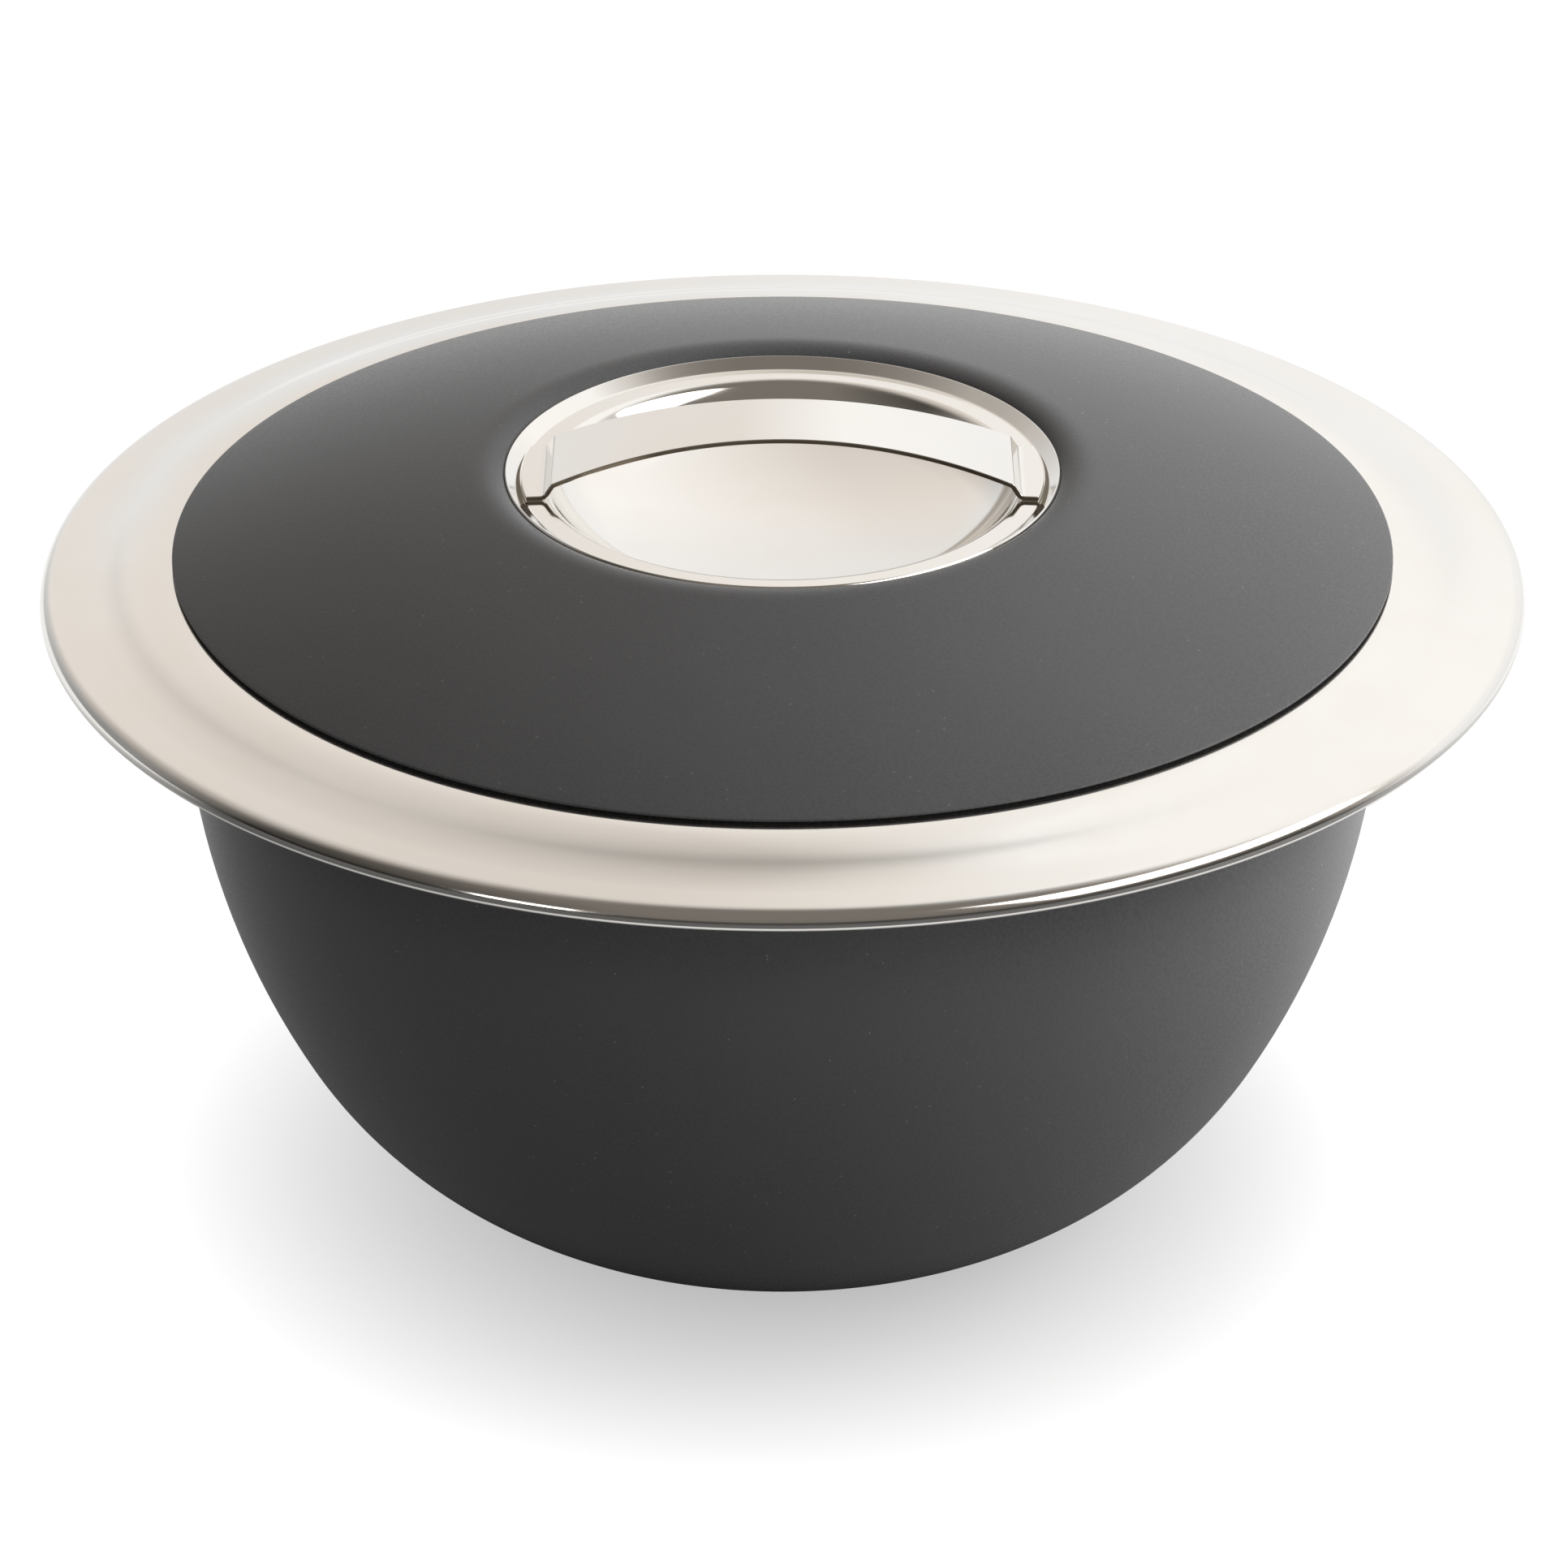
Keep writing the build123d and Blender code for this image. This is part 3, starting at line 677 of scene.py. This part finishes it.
def makeStrap(s):
    half = strapRuns(s)
    corner = (s["footRadius"] ** 2 - (s["endWidth"] / 2) ** 2) ** 0.5
    dip = (s["endWidth"] - s["middleWidth"]) / 2
    waist = (corner ** 2 + dip ** 2) / (2 * dip)
    width = lambda x: s["middleWidth"] / 2 + waist - (waist ** 2 - x * x) ** 0.5
    columns = s["columns"]
    across = [2 * i / columns - 1 for i in range(columns + 1)]
    ends = [(s["footRadius"] ** 2 - (v * s["endWidth"] / 2) ** 2) ** 0.5 for v in across]
    rows = []
    for x, z, nx, nz in half:
        rows.append([(x, v * width(x), z, nx, nz) for v in across])
    heelEnd, footTop = half[-1][0], half[-1][1]
    for t in s["footRows"]:
        w = width(heelEnd + t * (corner - heelEnd))
        rows.append([(heelEnd + t * (e - heelEnd), v * w, footTop, 0, -1) for v, e in zip(across, ends)])
    mirrored = [[(-x, y, z, -nx, nz) for x, y, z, nx, nz in row] for row in rows[:0:-1]]
    rows = mirrored + rows
    count, wide = len(rows), columns + 1
    vertices = [(x * mm, y * mm, z * mm) for row in rows for x, y, z, nx, nz in row]
    vertices += [((x + nx * s["sheet"]) * mm, y * mm, (z + nz * s["sheet"]) * mm)
                 for row in rows for x, y, z, nx, nz in row]
    under = count * wide
    faces = []
    for i in range(count - 1):
        for j in range(columns):
            a, b = i * wide + j, (i + 1) * wide + j
            c, d = b + 1, a + 1
            faces.append((a, b, c, d))
            faces.append((d + under, c + under, b + under, a + under))
        a, b = i * wide, (i + 1) * wide
        faces.append((a, a + under, b + under, b))
        faces.append((b + columns, b + columns + under, a + columns + under, a + columns))
    for j in range(columns):
        a = (count - 1) * wide + j
        faces.append((a, a + under, a + 1 + under, a + 1))
        faces.append((j + 1, j + 1 + under, j + under, j))
    strap = meshPiece("handleStrap", vertices, faces, s["sharpAngle"])
    eased = strap.modifiers.new("easedEdge", "BEVEL")
    eased.width = s["easedEdge"] * mm
    eased.segments = s["easedSteps"]
    eased.limit_method = "ANGLE"
    eased.angle_limit = math.radians(s["easedAngle"])
    eased.harden_normals = True
    return strap


settle(makeStrap(strapSheet), "handle_strap", "lid", strapSteel)

# Nodes inside the walls keep their solids and get their own finish
hiddenFinish = {
    "bowl_insulation": rigidFoam,
    "lid_insulation": rigidFoam,
    "clamp_ring": platedSteel,
    "clamp_studs": platedSteel,
    "clamp_nuts": platedSteel,
}
for node, finish in hiddenFinish.items():
    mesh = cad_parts[node].data
    mesh.materials.clear()
    mesh.materials.append(finish)
print("inner nodes finished:", len(hiddenFinish))

# Studio: white floor and surroundings, bright behind, dim on the camera's side
studio = {
    "floorSize": 8.0,
    "floorDrop": 0.0002,
    "floorColour": (0.05, 0.05, 0.05),
    "floorGlow": 1.0,
    # painted shadow on the floor's white glow near the bowl: its reach and its darkest level
    "paintedShadowReach": 0.045,
    "paintedShadowLevel": 0.45,
    # what the steel mirrors is painted reflection: glossy rays alone see a pale sheet under the bowl and a
    # floor dim in front and bright behind, with painted shadow under the bowl
    "sheetEdge": (0.27, 0.33),
    "sheetLeft": (-0.30, -0.05),
    "sheetLevels": (0.30, 0.92),
    "paintedSheetShadowReach": 0.16,
    "paintedSheetShadowPower": 2.5,
    "shadowSamples": 8,
    "mirrorReach": (-0.10, 0.30),
    "mirrorLevels": (0.07, 0.92),
    # how bright the surroundings are by the sine of the height above the horizon
    "backLeft": ((0.0, 0.87), (0.46, 0.88), (0.66, 0.76), (0.76, 0.71), (0.85, 0.62),
                 (0.93, 0.45), (1.0, 0.20)),
    "backRight": ((0.0, 0.98), (0.30, 1.02), (0.46, 1.10), (0.76, 1.08), (0.85, 1.03),
                  (0.93, 0.60), (1.0, 0.22)),
    "front": ((0.0, 0.04), (0.14, 0.10), (0.28, 0.19), (0.70, 0.20), (1.0, 0.20)),
    # where the right half, the back half and the dim far left begin, by direction
    "rightLean": 0.1,
    "rightEdge": (-0.08, 0.08),
    "backEdge": (-0.12, 0.32),
    "leftEdge": (-0.85, -0.32),
    "leftDim": 0.35,
    "lowTint": (1.0, 1.0, 1.0),
    "leftTint": (1.0, 0.935, 0.87),
    "rightTint": (1.0, 0.985, 0.965),
    "frontTint": (1.0, 0.91, 0.81),
    "tintHeights": (0.15, 0.50),
}


def levelRamp(tree, value, levels):
    ramp = addNode(tree, "ShaderNodeValToRGB", {"Fac": value})
    elements = ramp.color_ramp.elements
    while len(elements) < len(levels):
        elements.new(0.5)
    for element, (place, level) in zip(elements, levels):
        element.position = place
        element.color = (level, level, level, 1)
    return ramp.outputs["Color"]


def makeFloor(s):
    mesh = bpy.data.meshes.new("studioFloor")
    h = s["floorSize"] / 2
    low = -s["floorDrop"]
    mesh.from_pydata([(-h, -h, low), (h, -h, low), (h, h, low), (-h, h, low)], [], [(0, 1, 2, 3)])
    floor = bpy.data.objects.new("studioFloor", mesh)
    bpy.context.scene.collection.objects.link(floor)
    material = bpy.data.materials.new("studioFloor")
    material.use_nodes = True
    tree = material.node_tree
    tree.nodes.clear()
    rays = addNode(tree, "ShaderNodeLightPath").outputs
    seen = math2(tree, "MAXIMUM", rays["Is Camera Ray"], rays["Is Transmission Ray"])
    shown = math2(tree, "MULTIPLY", seen, s["floorGlow"])
    point = addNode(tree, "ShaderNodeTexCoord").outputs["Object"]
    place = addNode(tree, "ShaderNodeSeparateXYZ", {0: point})
    far = spread(tree, place.outputs["Y"], *s["mirrorReach"], *s["mirrorLevels"])
    close = spread(tree, axisRadius(tree, point), *s["sheetEdge"], 1, 0)
    # painted shadow: ambient occlusion darkens the floor that the steel mirrors under the bowl
    shade = addNode(tree, "ShaderNodeAmbientOcclusion", {"Distance": s["paintedSheetShadowReach"]},
                    samples=s["shadowSamples"]).outputs["AO"]
    leftFade = spread(tree, place.outputs["X"], *s["sheetLeft"], *s["sheetLevels"])
    sheet = math2(tree, "MULTIPLY", close, leftFade)
    shade = math2(tree, "POWER", shade, s["paintedSheetShadowPower"])
    level = math2(tree, "MULTIPLY", math2(tree, "MAXIMUM", far, sheet), shade)
    # painted reflection: only glossy rays see this level of the floor
    mirrored = math2(tree, "MULTIPLY", rays["Is Glossy Ray"], level)
    # painted shadow: ambient occlusion darkens the floor's white glow near the bowl
    near = addNode(tree, "ShaderNodeAmbientOcclusion", {"Distance": s["paintedShadowReach"]},
                   samples=s["shadowSamples"]).outputs["AO"]
    paintedShadow = spread(tree, near, 0, 1, s["paintedShadowLevel"], 1)
    glow = math2(tree, "ADD", math2(tree, "MULTIPLY", shown, paintedShadow), mirrored)
    paint = addNode(tree, "ShaderNodeBsdfDiffuse", {"Color": (*s["floorColour"], 1)})
    light = addNode(tree, "ShaderNodeEmission", {"Strength": glow})
    both = addNode(tree, "ShaderNodeAddShader", {0: paint.outputs[0], 1: light.outputs[0]})
    addNode(tree, "ShaderNodeOutputMaterial", {"Surface": both.outputs[0]})
    floor.data.materials.append(material)


def makeSurroundings(s):
    world = bpy.data.worlds.new("studioWorld")
    bpy.context.scene.world = world
    world.use_nodes = True
    tree = world.node_tree
    tree.nodes.clear()
    direction = addNode(tree, "ShaderNodeTexCoord").outputs["Generated"]
    way = addNode(tree, "ShaderNodeSeparateXYZ", {0: direction})
    x, y, z = way.outputs["X"], way.outputs["Y"], way.outputs["Z"]
    # the bright right half starts further right the higher it is
    lean = math2(tree, "MULTIPLY", math2(tree, "MULTIPLY", z, z), s["rightLean"])
    right = spread(tree, math2(tree, "SUBTRACT", x, lean), *s["rightEdge"], 0, 1)
    back = mixColour(tree, right, levelRamp(tree, z, s["backLeft"]), levelRamp(tree, z, s["backRight"]))
    behind = spread(tree, y, *s["backEdge"], 0, 1)
    around = mixColour(tree, behind, levelRamp(tree, z, s["front"]), back)
    high = spread(tree, z, *s["tintHeights"], 0, 1)
    tint = mixColour(tree, high, s["lowTint"], mixColour(tree, right, s["leftTint"], s["rightTint"]))
    tint = mixColour(tree, behind, s["frontTint"], tint)
    far = spread(tree, x, *s["leftEdge"], s["leftDim"], 1)
    shade = addNode(tree, "ShaderNodeVectorMath", {0: tint, 1: around}, operation="MULTIPLY").outputs[0]
    shade = addNode(tree, "ShaderNodeVectorMath", {0: shade, "Scale": far}, operation="SCALE").outputs[0]
    rays = addNode(tree, "ShaderNodeLightPath").outputs
    seen = math2(tree, "MAXIMUM", rays["Is Camera Ray"], rays["Is Transmission Ray"])
    room = addNode(tree, "ShaderNodeBackground", {"Color": shade, "Strength": 1.0})
    white = addNode(tree, "ShaderNodeBackground", {"Color": (1, 1, 1, 1), "Strength": 1.0})
    shown = addNode(tree, "ShaderNodeMixShader", {0: seen, 1: room.outputs[0], 2: white.outputs[0]})
    addNode(tree, "ShaderNodeOutputWorld", {"Surface": shown.outputs[0]})


makeFloor(studio)
makeSurroundings(studio)

# Softboxes, each placed by where it stands; all point at the bowl's middle
aimHeight = 0.1
softboxes = {
    "keySoftbox": {"place": (0.62, 0.05, 0.43), "size": (0.55, 0.45), "power": 12.8,
                   "colour": (1, 0.99, 0.98), "mirrored": False},
    "rightSoftbox": {"place": (0.93, -0.43, 0.82), "size": (1.2, 0.70), "power": 5.6,
                     "colour": (1, 0.98, 0.96), "mirrored": True},
    "leftSoftbox": {"place": (-0.77, -1.09, 0.33), "size": (0.32, 0.22), "power": 0.8,
                    "colour": (1, 0.97, 0.94), "mirrored": True},
    "rightFill": {"place": (0.95, -0.50, 0.10), "size": (0.6, 0.3), "power": 9.0,
                  "colour": (1, 0.99, 0.98), "mirrored": False},
    "frontFill": {"place": (-0.15, -1.5, 0.22), "size": (1.2, 0.4), "power": 4.6,
                  "colour": (1, 0.99, 0.98), "mirrored": False},
    "leftFill": {"place": (-0.95, -0.50, 0.08), "size": (0.6, 0.15), "power": 2.0,
                 "colour": (1, 0.99, 0.98), "mirrored": False},
}


def makeSoftbox(name, box):
    data = bpy.data.lights.new(name, "AREA")
    data.shape = "RECTANGLE"
    data.size, data.size_y = box["size"]
    data.energy = box["power"]
    data.color = box["colour"]
    lamp = bpy.data.objects.new(name, data)
    lamp.location = box["place"]
    aim = -lamp.location
    aim.z += aimHeight
    lamp.rotation_mode = "QUATERNION"
    lamp.rotation_quaternion = aim.to_track_quat("-Z", "Y")
    lamp.visible_glossy = box["mirrored"]
    lamp.visible_camera = False
    bpy.context.scene.collection.objects.link(lamp)


for name, box in softboxes.items():
    makeSoftbox(name, box)
bpy.context.scene.view_settings.view_transform = "Standard"
print("studio lit")
